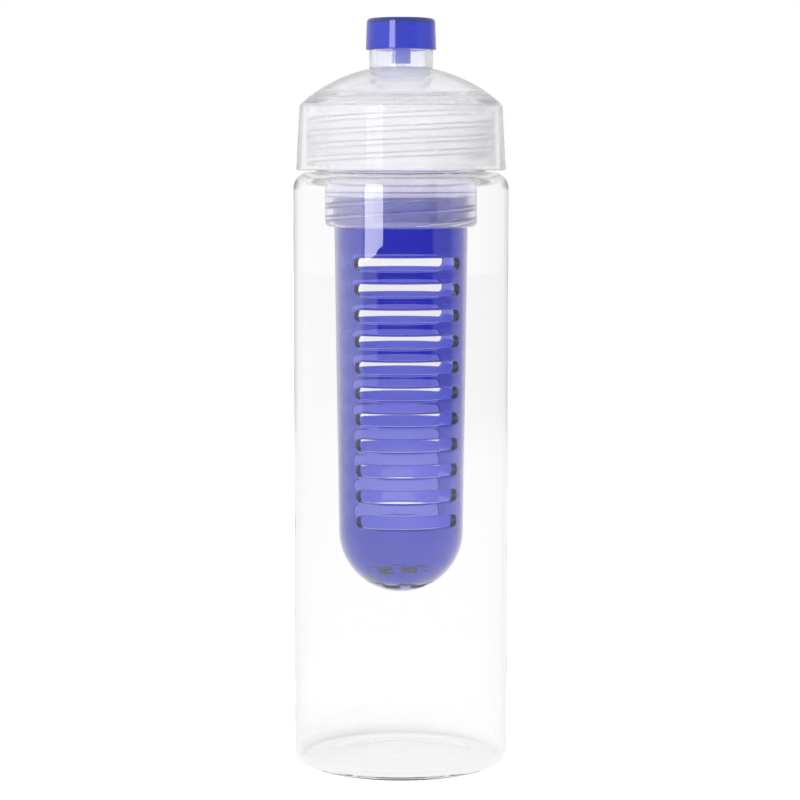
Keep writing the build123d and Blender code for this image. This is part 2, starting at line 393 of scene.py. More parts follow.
def end_tree(tree, geometry, given):
    """Merges doubles, makes instances real and gives the mesh its material."""
    merged = put(tree, "GeometryNodeMergeByDistance",
                 inputs={"Geometry": geometry, "Distance": merge_distance * mm})
    real = put(tree, "GeometryNodeRealizeInstances", inputs={0: merged[0]})
    dressed = put(tree, "GeometryNodeSetMaterial",
                  inputs={"Geometry": real[0], "Material": given["Material"]})
    put(tree, "NodeGroupOutput", inputs={0: dressed[0]})


def joined(tree, *numbers):
    """A vector of three numbers."""
    return put(tree, "ShaderNodeCombineXYZ", inputs=dict(enumerate(numbers)))[0]


def at_angle(tree, radius, angle, height):
    """A place at a radius, an angle and a height about the bottle's axis."""
    place = joined(tree, times(tree, radius, calc(tree, "COSINE", angle)),
                   times(tree, radius, calc(tree, "SINE", angle)), height)
    return put(tree, "ShaderNodeVectorMath", {"operation": "SCALE"}, {0: place, "Scale": mm})[0]


def turned_place(radius, angle, height):
    """The numbers of a place at a radius, an angle and a height, in metres."""
    return (radius * math.cos(angle) * mm, radius * math.sin(angle) * mm, height * mm)


def turning_tree():
    """Turns a half section about the bottle's axis, with a thread where the section carries it."""
    tree = new_tree("turned piece", [("Pieces Round", "NodeSocketInt")])
    given = put(tree, "NodeGroupInput")
    points = put(tree, "GeometryNodeAttributeDomainSize", {"component": "MESH"},
                 {0: given["Geometry"]})["Point Count"]
    columns = calc(tree, "ADD", given["Pieces Round"], 1)
    grid = put(tree, "GeometryNodeMeshGrid", inputs={"Vertices X": columns, "Vertices Y": points})
    index = put(tree, "GeometryNodeInputIndex")[0]
    row = calc(tree, "MODULO", index, points)
    column = calc(tree, "FLOOR", calc(tree, "DIVIDE", index, points))
    place = put(tree, "GeometryNodeSampleIndex", {"data_type": "FLOAT_VECTOR"},
                {0: given["Geometry"], 1: put(tree, "GeometryNodeInputPosition")[0],
                 "Index": row})[0]
    marked = put(tree, "GeometryNodeInputNamedAttribute", {"data_type": "FLOAT"}, {0: "thread"})
    carried = put(tree, "GeometryNodeSampleIndex", {"data_type": "FLOAT"},
                  {0: given["Geometry"], 1: marked[0], "Index": row})[0]
    radius, _, height = split(tree, place)
    angle = calc(tree, "DIVIDE", times(tree, column, 2 * math.pi), given["Pieces Round"])
    radius = calc(tree, "ADD", radius, add_ridge(tree, given, angle, height, carried))
    moved = put(tree, "GeometryNodeSetPosition",
                inputs={"Geometry": grid[0], "Position": at_angle(tree, radius, angle, height)})
    end_tree(tree, moved[0], given)
    return tree


turning = turning_tree()


def grown(name, source, tree, inputs):
    """The plain mesh that a tree makes of a source mesh, closed and with its faces outwards."""
    seed = placed(name + "_seed", source)
    modifier = seed.modifiers.new("shape", "NODES")
    modifier.node_group = tree
    for item in tree.interface.items_tree:
        if item.in_out == "INPUT" and item.name in inputs:
            modifier[item.identifier] = inputs[item.name]
    bpy.context.view_layer.update()
    seed.update_tag()
    ready = seed.evaluated_get(bpy.context.evaluated_depsgraph_get())
    mesh = bpy.data.meshes.new_from_object(ready)
    seed.modifiers.remove(modifier)
    bpy.data.objects.remove(seed)
    mesh.name = name
    return faced_outwards(mesh)


def faced_outwards(mesh):
    """Closes a mesh at its doubles, drops loose places and turns the faces outwards."""
    work = bmesh.new()
    work.from_mesh(mesh)
    bmesh.ops.remove_doubles(work, verts=work.verts, dist=merge_distance * mm)
    bmesh.ops.dissolve_degenerate(work, edges=work.edges, dist=merge_distance * mm / 4)
    loose = [place for place in work.verts if not place.link_faces]
    bmesh.ops.delete(work, geom=loose, context="VERTS")
    bmesh.ops.recalc_face_normals(work, faces=work.faces)
    for face in work.faces:
        face.smooth = True
    work.to_mesh(mesh)
    work.free()
    return mesh


def rounded_line(corners, closed, threaded=(), thread_rows=0.2, arc_step=15.0):
    """Points (radius, height, thread share) along straight runs between corners.

    A corner is a radius and a height, with a rounding where it has one. threaded holds the
    numbers of the corners after which the run carries a thread.
    """
    places = [np.array(corner[:2], float) for corner in corners]
    roundings = [corner[2] if len(corner) > 2 else 0 for corner in corners]
    count = len(corners)
    runs = []
    for k in range(count):
        here = places[k]
        if roundings[k] == 0:
            runs.append([here])
            continue
        back = places[k - 1] - here
        ahead = places[(k + 1) % count] - here
        back = back / np.linalg.norm(back)
        ahead = ahead / np.linalg.norm(ahead)
        opening = math.acos(np.clip(back @ ahead, -1, 1))
        reach = roundings[k] / math.tan(opening / 2)
        inwards = (back + ahead) / np.linalg.norm(back + ahead)
        middle = here + inwards * roundings[k] / math.sin(opening / 2)
        steps = max(3, math.ceil(math.degrees(math.pi - opening) / arc_step))
        first = here + back * reach - middle
        last = here + ahead * reach - middle
        turn = math.pi - opening
        swings = [turn * t for t in np.linspace(0, 1, steps + 1)]
        arc = [middle + (first * math.sin(turn - swing) + last * math.sin(swing)) / math.sin(turn)
               for swing in swings]
        support = support_share * reach
        runs.append([arc[0] + back * support] + arc + [arc[-1] + ahead * support])
    line = []
    for k in range(count):
        line += [(point[0], point[1], 0.0) for point in runs[k]]
        if k in threaded:
            start, end = runs[k][-1], runs[(k + 1) % count][0]
            rows = math.ceil(np.linalg.norm(end - start) / thread_rows)
            line += [(*(start + (end - start) * t / rows), 1.0) for t in range(1, rows)]
    if closed:
        line.append(line[0])
    return line


def mark_thread(mesh, shares):
    """Notes how much of the thread each place of a mesh carries."""
    mesh.attributes.new("thread", "FLOAT", "POINT").data.foreach_set("value", shares)


def section_mesh(name, line):
    """A half section as a mesh of points joined in order, in millimetres."""
    mesh = plain_mesh(name + "_section", [(radius, 0, height) for radius, height, _ in line], [],
                      [(k, k + 1) for k in range(len(line) - 1)])
    mark_thread(mesh, [share for _, _, share in line])
    return mesh


def turned(name, corners, material, closed=True, threaded=(), thread=no_thread, **line):
    """The mesh of a turned piece."""
    source = section_mesh(name, rounded_line(corners, closed, threaded, **line))
    inputs = {"Pieces Round": round_pieces, "Material": material, **thread}
    return grown(name, source, turning, inputs)


def shown_piece(name, mesh, body, node):
    """A finished piece that stands for a node and rides on its body; the node's own part is hidden.
    """
    piece = placed(name, mesh)
    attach(piece, body)
    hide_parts(node)


def noise(tree, place, scale, detail):
    """Smooth noise at a place, as a number about 0.5."""
    return put(tree, "ShaderNodeTexNoise",
               inputs={"Vector": place, "Scale": scale, "Detail": detail})[0]


def bumped(tree, strength, depth, height, normal=None):
    """A normal tilted by a height."""
    return put(tree, "ShaderNodeBump", inputs={"Strength": strength, "Distance": depth,
                                               "Height": height, "Normal": normal})[0]


def moulded(name, colour, roughness, ior, clearness=1.0, ripple_scale=60.0, ripple=0.03,
            streaks=1.0, grain_scale=900.0, grain=0.0, gloss=1.0, coat=0.0, coat_ior=1.5,
            absorbs=None, density=0.0, shade=(1, 1, 1), milkiness=0.0, painted_light_tint=None):
    """A moulded plastic, clear or milky, with slight ripples and grain in its surface.

    absorbs and density tint the body, and shade tints the light that falls through it.
    painted_light_tint holds a second colour and the heights between which it gives way to the
    first: painted light, a tint that stands for coloured light falling into the plastic from a
    neighbour.
    """
    material = bpy.data.materials.new(name)
    tree = cleared_tree(material)
    place = put(tree, "ShaderNodeTexCoord")["Object"]
    squeezed = put(tree, "ShaderNodeMapping", inputs={"Vector": place, "Scale": (1, 1, streaks)})
    waves = noise(tree, squeezed[0], ripple_scale, ripple_detail)
    grains = noise(tree, place, grain_scale, grain_detail)
    grained = bumped(tree, grain, grain_depth * mm, grains, bumped(tree, ripple, mm, waves))
    haze = ramp(tree, waves, *haze_span, roughness * haze_range[0], roughness * haze_range[1])
    hue = (*colour, 1)
    # A tint that fades with height: painted light, standing for coloured light from a neighbouring
    # part.
    if painted_light_tint:
        low, start, end = painted_light_tint
        share = ramp(tree, split(tree, place)[2], start * mm, end * mm)
        hue = put(tree, "ShaderNodeMix", {"data_type": "RGBA"},
                  {0: share, 6: (*low, 1), 7: hue})[2]
    plastic = put(tree, "ShaderNodeBsdfPrincipled",
                  inputs={"Base Color": hue, "Roughness": haze, "IOR": ior,
                          "Transmission Weight": clearness,
                          "Coat Weight": coat, "Coat IOR": coat_ior,
                          "Specular Tint": (gloss, gloss, gloss, 1), "Normal": grained})[0]
    if milkiness:
        glow_through = put(tree, "ShaderNodeBsdfTranslucent", inputs={"Color": (*colour, 1)})
        plastic = mixed(tree, milkiness, plastic, glow_through[0])
    is_shadow = put(tree, "ShaderNodeLightPath")["Is Shadow Ray"]
    see_through = put(tree, "ShaderNodeBsdfTransparent", inputs={"Color": (*shade, 1)})
    body = None
    if density:
        body = put(tree, "ShaderNodeVolumeAbsorption",
                   inputs={"Color": (*absorbs, 1), "Density": density})[0]
    put(tree, "ShaderNodeOutputMaterial",
        inputs={"Surface": mixed(tree, is_shadow, plastic, see_through[0]), "Volume": body})
    return material


clear_plastic = moulded("clear plastic", (1, 1, 1), 0.0, 1.5, ripple=0.02, shade=(0.95, 0.95, 0.95))
inner_radius = body_radius - body_wall
neck_bore = neck_radius - neck_wall
inner_shoulder = body_height - body_wall
punt_top = punt_rise + floor_thickness
bottle_section = [
    (0, punt_rise), (punt_radius, punt_rise, punt_rounding),
    (foot_ring_radius, 0, foot_ring_rounding), (body_radius, 0, foot_rounding),
    (body_radius, body_height, shoulder_rounding),
    (neck_radius, body_height, neck_root_rounding), (neck_radius, rim_height, rim_rounding),
    (neck_bore, rim_height, rim_rounding), (neck_bore, inner_shoulder, neck_root_rounding),
    (inner_radius, inner_shoulder, inner_shoulder_rounding),
    (inner_radius, floor_thickness, foot_rounding - body_wall),
    (foot_ring_radius, floor_thickness, foot_ring_rounding), (punt_radius, punt_top, punt_rounding),
    (0, punt_top),
]
bottle_mesh = turned("bottle_body_clear", bottle_section, clear_plastic, closed=False,
                     threaded={neck_run}, thread=neck_thread, arc_step=fine_arc)
shown_piece("bottle_body_clear", bottle_mesh, "bottle", "bottle_body")


# Gasket: a flat ring of soft white silicone that lies on the bottle's rim and is
# squeezed there by the collar's flange.
gasket_bore = 26.1
gasket_radius = neck_radius
gasket_foot = rim_height
gasket_top = rim_height + 1.2
silicone = moulded("soft silicone", (0.95, 0.95, 0.955), 0.35, 1.41, clearness=0.45, ripple=0.05,
                   grain_scale=1500.0, grain=0.15, milkiness=0.15)


def flat_ring(name, bore, radius, foot, top, rounding):
    """The mesh of a flat ring of silicone."""
    corners = [(bore, foot), (radius, foot), (radius, top), (bore, top)]
    return turned(name, [(*corner, rounding) for corner in corners], silicone)


gasket_mesh = flat_ring("lid_gasket_ring", gasket_bore, gasket_radius, gasket_foot, gasket_top, 0.3)
shown_piece("lid_gasket_ring", gasket_mesh, "gasket", "lid_gasket")


# Basket: a drafted tube of clear blue plastic with a round end, moulded with two
# columns of long slots, four drains in its end and a thread round its neck.
basket_rim = 194.0
basket_radius = 22.8
basket_end_radius = 21.35
basket_centre = 80.25
basket_wall = 2.0
basket_neck_radius = 23.2
basket_neck_height = 10.0
slot_rows = 11
slot_columns = 2
slot_pitch = 8.68
slot_height = 4.1
slot_span = 103.5
slot_drop = 22.25
slot_azimuth = 8.0
slot_softness = 0.18
slot_across = 46
slot_beside = 10
slot_end_rows = 6
slot_rib_rows = 3
drain_length = 6.2
drain_width = 2.3
drain_ring_radius = 10.7
drain_spread = 24.5
drain_above = 2.2
drain_below = 3.0
drain_across = 9
drain_inside = 8
drain_end_rows = 5
drain_rib_rows = 3
ball_rows = 14
ball_gather = 1.5
pole_rows = 5
basket_neck_run = 2
basket_neck_slope = 0.4
basket_thread = {"Crest Height": 188.6, "Foot": 184.9, "Top": 193.2, "Lead": 8.5, "Pitch": 4.25,
                 "Depth": 0.3, "Crest": 0.3, "Flank": 1.5, "Run": 0.7}


def sheet_faces(rows, columns, start=0, hole_box=(0, 0, 0, 0)):
    """Four-sided faces of a grid of places, without those inside a box of rows and columns."""
    low_row, high_row, low_column, high_column = hole_box
    faces = []
    for row in range(rows - 1):
        for column in range(columns - 1):
            if low_row <= row < high_row and low_column <= column < high_column:
                continue
            corner = start + row * columns + column
            faces.append((corner, corner + 1, corner + columns + 1, corner + columns))
    return faces


def obround(half_length, half_height, across, end_rows):
    """The four sides of a hole with straight sides and round ends, about its middle."""
    straight = half_length - half_height
    run = np.linspace(-straight, straight, across + 1)
    swing = np.linspace(-math.pi / 2, math.pi / 2, 2 * end_rows + 1)
    foot = [(x, -half_height) for x in run]
    top = [(x, half_height) for x in run]
    left = [(-straight - half_height * math.cos(a), half_height * math.sin(a)) for a in swing]
    right = [(straight + half_height * math.cos(a), half_height * math.sin(a)) for a in swing]
    return foot, top, left, right


def loop_of(hole):
    """The places round a hole, once, in order."""
    foot, top, left, right = hole
    return foot + right[1:-1] + top[::-1] + left[-2:0:-1]


def softened_wall(softness, thickness, steps=3):
    """Offsets and depths down a hole's wall, from one face to the other, with rounded edges."""
    swing = np.linspace(0, math.pi / 2, steps + 1)
    first = [(softness * (1 - math.sin(a)), softness * (1 - math.cos(a))) for a in swing]
    return first + [(offset, thickness - depth) for offset, depth in reversed(first)]


def band_faces(loops, count, start):
    """Faces that join closed loops of places, one after the other."""
    faces = []
    for k in range(loops - 1):
        for n in range(count):
            ahead = (n + 1) % count
            a, b = start + k * count + n, start + k * count + ahead
            faces.append((a, b, b + count, a + count))
    return faces


def holed_wall(sides, columns, low, high, beside, rib_rows, softness, thickness):
    """A wall with one hole, as places (x, y, depth) and faces.

    sides gives the hole's foot, top, left and right at an offset, columns holds x of every
    column, and beside says how many of them are on the hole's left and on its right. The wall
    goes from low to high, with rows of ribs under and over the hole.
    """
    foot, top, left, right = (np.array(side) for side in sides(softness))
    first, last = rib_rows, rib_rows + len(left) - 1
    start, end = beside[0], len(columns) - 1 - beside[1]
    grid = np.zeros((last + rib_rows + 1, len(columns), 2))
    for row in range(first, last + 1):
        height = left[row - first][1]
        grid[row, :start + 1] = np.linspace((columns[0], height), left[row - first], start + 1)
        grid[row, end:] = np.linspace(right[row - first], (columns[-1], height), beside[1] + 1)
    grid[first, start:end + 1] = foot
    grid[last, start:end + 1] = top
    low_edge, high_edge = (np.array([(x, y) for x in columns]) for y in (low, high))
    for row in range(rib_rows):
        grid[row] = low_edge + (grid[first] - low_edge) * row / rib_rows
        grid[last + 1 + row] = grid[last] + (high_edge - grid[last]) * (row + 1) / rib_rows
    places, faces = [], []
    for depth in (0, thickness):
        faces += sheet_faces(len(grid), len(columns), len(places), (first, last, start, end))
        places += [(x, y, depth) for x, y in grid.reshape(-1, 2)]
    wall = softened_wall(softness, thickness)
    loops = [loop_of(sides(offset)) for offset, _ in wall]
    faces += band_faces(len(loops), len(loops[0]), len(places))
    places += [(x, y, depth) for loop, (_, depth) in zip(loops, wall) for x, y in loop]
    return places, faces


def copied_faces(faces, size, copies):
    """The faces of several copies of a mesh with a number of places."""
    return [[corner + copy * size for corner in face] for copy in range(copies) for face in faces]


def slot_tile():
    """Half of the basket's way round and one row high, laid flat with its slot."""
    half_width = math.pi * basket_radius / 2
    half_length = math.radians(slot_span / 2) * basket_radius

    def slot(offset):
        """The slot's sides, moved outwards by an offset."""
        return obround(half_length + offset, slot_height / 2 + offset, slot_across, slot_end_rows)

    run = np.array([place[0] for place in slot(slot_softness)[0]])
    beside = np.linspace(-half_width, run[0], slot_beside + 1)[:-1]
    columns = np.concatenate([beside, run, -beside[::-1]])
    places, faces = holed_wall(slot, columns, -slot_pitch / 2, slot_pitch / 2,
                               (slot_beside, slot_beside), slot_rib_rows, slot_softness,
                               basket_wall)
    return plain_mesh("slot_tile", [(x, depth, z) for x, z, depth in places], faces), columns


def flat_strip(name, columns, line):
    """A section of (depth, height, thread share), drawn along the tile's columns and laid flat."""
    pitch = math.pi * basket_radius
    every = [x + turn * pitch for turn in range(slot_columns) for x in columns[:-1]]
    every.append(columns[-1] + (slot_columns - 1) * pitch)
    mesh = plain_mesh(name, [(x, depth, height) for x in every for depth, height, _ in line],
                      sheet_faces(len(every), len(line)))
    mark_thread(mesh, [share for _ in every for _, _, share in line])
    return mesh


def lined_up(tree, piece, count, step, start=(0, 0, 0)):
    """Copies of a piece in a straight line."""
    line = put(tree, "GeometryNodeMeshLine",
               inputs={"Count": count, "Offset": step, "Start Location": start})
    return put(tree, "GeometryNodeInstanceOnPoints",
               inputs={"Points": line[0], "Instance": piece})[0]


def gathered(tree, piece, helper):
    """A piece together with the mesh of a helper object."""
    other = put(tree, "GeometryNodeObjectInfo", inputs={"Object": helper})
    both = tree.nodes.new("GeometryNodeJoinGeometry")
    wire(tree, piece, both.inputs[0])
    wire(tree, other["Geometry"], both.inputs[0])
    return both.outputs[0]


def rolling_tree():
    """Repeats the slot tile in rows and columns, rolls it up with the neck, adds the round end."""
    sizes = ("Row Pitch", "First Row", "Column Pitch", "Turn", "Rim Radius", "Foot Radius",
             "Rim Height", "Foot Height")
    helpers = [("Neck", "NodeSocketObject"), ("Round End", "NodeSocketObject")]
    counts = [("Rows", "NodeSocketInt"), ("Columns", "NodeSocketInt")]
    tree = new_tree("rolled basket",
                    helpers + counts + [(title, "NodeSocketFloat") for title in sizes])
    given = put(tree, "NodeGroupInput")
    down = joined(tree, 0, 0, times(tree, given["Row Pitch"], -1))
    first = joined(tree, 0, 0, given["First Row"])
    column = lined_up(tree, given["Geometry"], given["Rows"], down, first)
    columns = lined_up(tree, column, given["Columns"], joined(tree, given["Column Pitch"], 0, 0))
    tiles = put(tree, "GeometryNodeRealizeInstances", inputs={0: columns})
    flat = gathered(tree, tiles[0], given["Neck"])
    along, depth, height = split(tree, put(tree, "GeometryNodeInputPosition")[0])
    angle = calc(tree, "ADD", calc(tree, "DIVIDE", along, given["Rim Radius"]), given["Turn"])
    rise = calc(tree, "DIVIDE", calc(tree, "SUBTRACT", height, given["Foot Height"]),
                calc(tree, "SUBTRACT", given["Rim Height"], given["Foot Height"]))
    draft = times(tree, rise, calc(tree, "SUBTRACT", given["Rim Radius"], given["Foot Radius"]))
    outside = calc(tree, "ADD", given["Foot Radius"], draft)
    marked = put(tree, "GeometryNodeInputNamedAttribute", {"data_type": "FLOAT"}, {0: "thread"})
    ridge = add_ridge(tree, given, angle, height, marked[0])
    radius = calc(tree, "ADD", calc(tree, "SUBTRACT", outside, depth), ridge)
    rolled = put(tree, "GeometryNodeSetPosition",
                 inputs={"Geometry": flat, "Position": at_angle(tree, radius, angle, height)})
    end_tree(tree, gathered(tree, rolled[0], given["Round End"]), given)
    return tree


def round_end(columns):
    """The basket's round end with its four drains, from the last row of slots down to the pole."""
    half_slot = drain_length / 2
    half_width = drain_width / 2
    beside = (drain_inside, len(columns) // 2 - drain_inside - drain_across)
    balls = (basket_end_radius, basket_end_radius - basket_wall)
    cell_rim = drain_ring_radius + half_width + drain_above
    cell_foot = drain_ring_radius - half_width - drain_below

    def drain(offset):
        """The drain's sides as (angle, radius) from the middle of the slot column."""
        flat = obround(half_slot + offset, half_width + offset, drain_across, drain_end_rows)
        return [[(math.radians(drain_spread) + math.atan2(x, drain_ring_radius + y),
                  math.hypot(x, drain_ring_radius + y)) for x, y in side] for side in flat]

    def on_ball(angle, radius, ball):
        """A place on a ball about the round end's centre, below it."""
        return turned_place(radius, angle, basket_centre - math.sqrt(max(ball**2 - radius**2, 0)))

    quarter = math.pi / 2
    run = np.array([place[0] for place in drain(slot_softness)[1]])
    inside = np.linspace(0, run[0], beside[0] + 1)[:-1]
    outside = np.linspace(run[-1], quarter, beside[1] + 1)[1:]
    cell_columns = np.concatenate([inside, run, outside])
    cell, cell_faces = holed_wall(drain, cell_columns, cell_foot, cell_rim, beside,
                                  drain_rib_rows, slot_softness, basket_wall)
    middles = [math.radians(slot_azimuth - 90) + turn * math.pi for turn in range(slot_columns)]
    faces = copied_faces(cell_faces, len(cell), 2 * len(middles))
    places = []
    for middle, side in [(middle, side) for middle in middles for side in (-1, 1)]:
        for angle, radius, depth in cell:
            skin, lining = (np.array(on_ball(middle + side * angle, radius, ball))
                            for ball in balls)
            places.append(tuple(skin + (lining - skin) * depth / basket_wall))
    tile_angles = columns / basket_radius
    drained = np.concatenate([-cell_columns[::-1], cell_columns[1:]])
    for middle, ball in [(middle, ball) for middle in middles for ball in balls]:
        edge = math.asin(cell_rim / ball)
        faces += sheet_faces(ball_rows + 1, len(drained), len(places))
        for row in range(ball_rows + 1):
            swing = quarter + (edge - quarter) * row / ball_rows
            share = (row / ball_rows) ** ball_gather
            places += [on_ball(angle, ball * math.sin(swing), ball)
                       for angle in middle + tile_angles * (1 - share) + drained * share]
        faces += sheet_faces(pole_rows + 1, len(drained), len(places))
        for row in range(pole_rows + 1):
            places += [on_ball(middle + angle, cell_foot * (1 - row / pole_rows), ball)
                       for angle in drained]
    return plain_mesh("round_end", places, faces)


def joined_mesh(name, meshes):
    """One mesh of several."""
    work = bmesh.new()
    for mesh in meshes:
        work.from_mesh(mesh)
    whole = bpy.data.meshes.new(name)
    work.to_mesh(whole)
    work.free()
    return whole


def outside_at(height):
    """The basket's outer radius at a height, by its draft."""
    rise = (height - basket_centre) / (basket_rim - basket_centre)
    return basket_end_radius + (basket_radius - basket_end_radius) * rise


tile_mesh, tile_columns = slot_tile()
neck_foot = basket_rim - basket_neck_height
first_row = basket_rim - slot_drop
tiles_top = first_row + slot_pitch / 2
tiles_foot = first_row - (slot_rows - 0.5) * slot_pitch
neck_section = rounded_line(
    [(basket_wall, tiles_top), (basket_wall, basket_rim, 0.4),
     (outside_at(basket_rim) - basket_neck_radius, basket_rim, 0.4),
     (outside_at(neck_foot) - basket_neck_radius, neck_foot, 0.3),
     (0, neck_foot - basket_neck_slope, 0.2), (0, tiles_top)],
    closed=False, threaded={basket_neck_run})
skirts = [[(depth, basket_centre, 0.0), (depth, tiles_foot, 0.0)] for depth in (0, basket_wall)]
strips = [flat_strip("basket_strip", tile_columns, line) for line in (neck_section, *skirts)]
neck_helper = placed("basket_neck", joined_mesh("basket_neck", strips))
end_helper = placed("basket_round_end", round_end(tile_columns))
blue_clear = moulded("clear blue plastic", (1, 1, 1), 0.02, 1.57, coat=1.0,
                     absorbs=(0.2, 0.235, 0.865), density=1100.0, shade=(0.35, 0.35, 0.85))
basket_inputs = {"Neck": neck_helper, "Round End": end_helper, "Rows": slot_rows,
                 "Columns": slot_columns, "Row Pitch": slot_pitch, "First Row": first_row,
                 "Column Pitch": math.pi * basket_radius, "Turn": math.radians(slot_azimuth - 90),
                 "Rim Radius": basket_radius, "Foot Radius": basket_end_radius,
                 "Rim Height": basket_rim, "Foot Height": basket_centre, "Material": blue_clear,
                 **basket_thread}
basket_mesh = grown("infuser_basket", tile_mesh, rolling_tree(), basket_inputs)
bpy.data.objects.remove(neck_helper)
bpy.data.objects.remove(end_helper)
shown_piece("infuser_basket", basket_mesh, "basket", "infuser")


# Collar: a ring of natural, milky plastic under the lid, with a flange that the lid
# clamps, a stop for the basket's rim and a threaded socket that the basket screws into.
flange_foot = gasket_top
flange_top = flange_foot + 1.5
flange_radius = 30.35
collar_radius = 25.8
collar_foot = 183.8
collar_bore = 24.0
stop_radius = 21.2
stop_top = basket_rim + 1.6
socket_radius = 23.28
collar_thread = {"Crest Height": 188.6, "Foot": 184.4, "Top": 193.6, "Lead": 8.5, "Pitch": 4.25,
                 "Depth": 0.55, "Crest": 0.15, "Flank": 0.35, "Run": 0.5}
# The violet tint towards the collar's foot is painted blue light, standing for the light the blue
# basket sends into the milky plastic.
collar_plastic = moulded("milky collar plastic", (0.98, 0.98, 0.99), 0.05, 1.49, clearness=0.95,
                         ripple_scale=90.0, ripple=0.04, grain_scale=1300.0, grain=0.03,
                         coat=1.0, coat_ior=1.8, milkiness=0.07,
                         painted_light_tint=((0.89, 0.87, 1.0), 195.0, 208.0))
collar_section = [
    (socket_radius, collar_foot, 0.3), (collar_radius, collar_foot, 2.0),
    (collar_radius, flange_foot, 0.3), (flange_radius, flange_foot, 0.3),
    (flange_radius, flange_top, 0.3), (collar_bore, flange_top, 0.4), (collar_bore, stop_top, 0.3),
    (stop_radius, stop_top, 0.3), (stop_radius, basket_rim, 0.3), (socket_radius, basket_rim, 0.2),
]
collar_mesh = turned("infuser_collar_ring", collar_section, collar_plastic,
                     threaded={len(collar_section) - 1}, thread=collar_thread)
shown_piece("infuser_collar_ring", collar_mesh, "lid", "infuser_collar")


# Spout: a clear tube that drinks come through, with a funnel and an inlet below, a
# groove for the washer, a floor with four windows and a plug that the cap shuts on.
spout_radius = 10.8
spout_bore = 8.3
tube_radius = 9.9
bead_radius = 10.2
groove_radius = 10.2
groove_foot = 234.08
groove_top = 237.18
cap_seat = 243.35
bead_foot = 249.45
bead_top = 250.35
bead_flank = 0.3
tube_top = 250.75
inlet_radius = 6.15
inlet_bore = 4.3
inlet_foot = 228.17
funnel_top = 232.82
inner_funnel_foot = 229.01
inner_funnel_top = 233.01
spout_floor = 237.35
floor_foot = 235.75
plug_radius = 1.9
plug_top = 242.75
window_width = 2.6
window_span = 52.0
window_count = 4
window_softness = 0.2
window_across = 14
window_beside = 9
window_end_rows = 5
window_rib_rows = 2
floor_inner = plug_radius + 0.7
floor_outer = spout_bore - 0.45
spout_pieces = window_count * (window_across + 2 * window_beside)


def spout_windows():
    """The spout's floor between the plug and the wall, with its four kidney-shaped windows."""
    middle = (plug_radius + spout_bore) / 2
    half_angle = math.pi / window_count

    def window(offset):
        """A window's sides as (angle, radius), with radius upwards."""
        half_length = math.radians(window_span / 2) * middle + window_width / 2 + offset
        flat = obround(half_length, window_width / 2 + offset, window_across, window_end_rows)
        return [[(x / middle, middle + y) for x, y in side] for side in flat]

    columns = np.linspace(-half_angle, half_angle, window_across + 2 * window_beside + 1)
    cell, faces = holed_wall(window, columns, floor_inner, floor_outer,
                             (window_beside, window_beside), window_rib_rows, window_softness,
                             spout_floor - floor_foot)
    places = [turned_place(radius, angle + turn * 2 * half_angle, spout_floor - depth)
              for turn in range(window_count) for angle, radius, depth in cell]
    return plain_mesh("mouthpiece_windows", places, copied_faces(faces, len(cell), window_count))


spout_line = rounded_line(
    [(floor_outer, floor_foot), (spout_bore, floor_foot, 0.3), (spout_bore, inner_funnel_top, 1.4),
     (inlet_bore, inner_funnel_foot, 0.8), (inlet_bore, inlet_foot, 0.25),
     (inlet_radius, inlet_foot, 0.25), (spout_radius, funnel_top, 2.8),
     (spout_radius, groove_foot, 0.15), (groove_radius, groove_foot, 0.15),
     (groove_radius, groove_top, 0.15), (spout_radius, groove_top, 0.15),
     (spout_radius, cap_seat, 0.25), (tube_radius, cap_seat, 0.25), (tube_radius, bead_foot, 0.1),
     (bead_radius, bead_foot + bead_flank, 0.15), (bead_radius, bead_top - bead_flank, 0.15),
     (tube_radius, bead_top, 0.1), (tube_radius, tube_top, 0.3), (spout_bore, tube_top, 0.3),
     (spout_bore, spout_floor, 0.3), (floor_outer, spout_floor)], closed=False)
plug_line = rounded_line([(floor_inner, spout_floor), (plug_radius, spout_floor, 0.3),
                          (plug_radius, plug_top, 0.4), (0, plug_top)], closed=False)
plug_foot = rounded_line([(0, floor_foot), (floor_inner, floor_foot)], closed=False)
clear_spout = moulded("clear spout plastic", (0.995, 0.995, 0.998), 0.02, 1.5, clearness=0.93,
                      ripple=0.04, gloss=0.6, milkiness=0.09)
spout_inputs = {"Pieces Round": spout_pieces, "Material": clear_spout, **no_thread}
spout_sections = [section_mesh("mouthpiece", line) for line in (spout_line, plug_line, plug_foot)]
spout_parts = [grown("mouthpiece_part", section, turning, spout_inputs)
               for section in spout_sections]
spout_mesh = joined_mesh("mouthpiece_spout", spout_parts + [spout_windows()])
spout_mesh.materials.append(clear_spout)
faced_outwards(spout_mesh)
shown_piece("mouthpiece_spout", spout_mesh, "lid", "mouthpiece")


# Washer: a thin silicone ring in the spout's groove, under the dome, that keeps
# the hole round the spout tight.
washer_bore = 10.3
washer_radius = 12.2
washer_foot = groove_foot
washer_top = washer_foot + 0.8
washer_mesh = flat_ring("spout_seal_washer", washer_bore, washer_radius, washer_foot,
                        washer_top, 0.15)
shown_piece("spout_seal_washer", washer_mesh, "washer", "spout_seal")


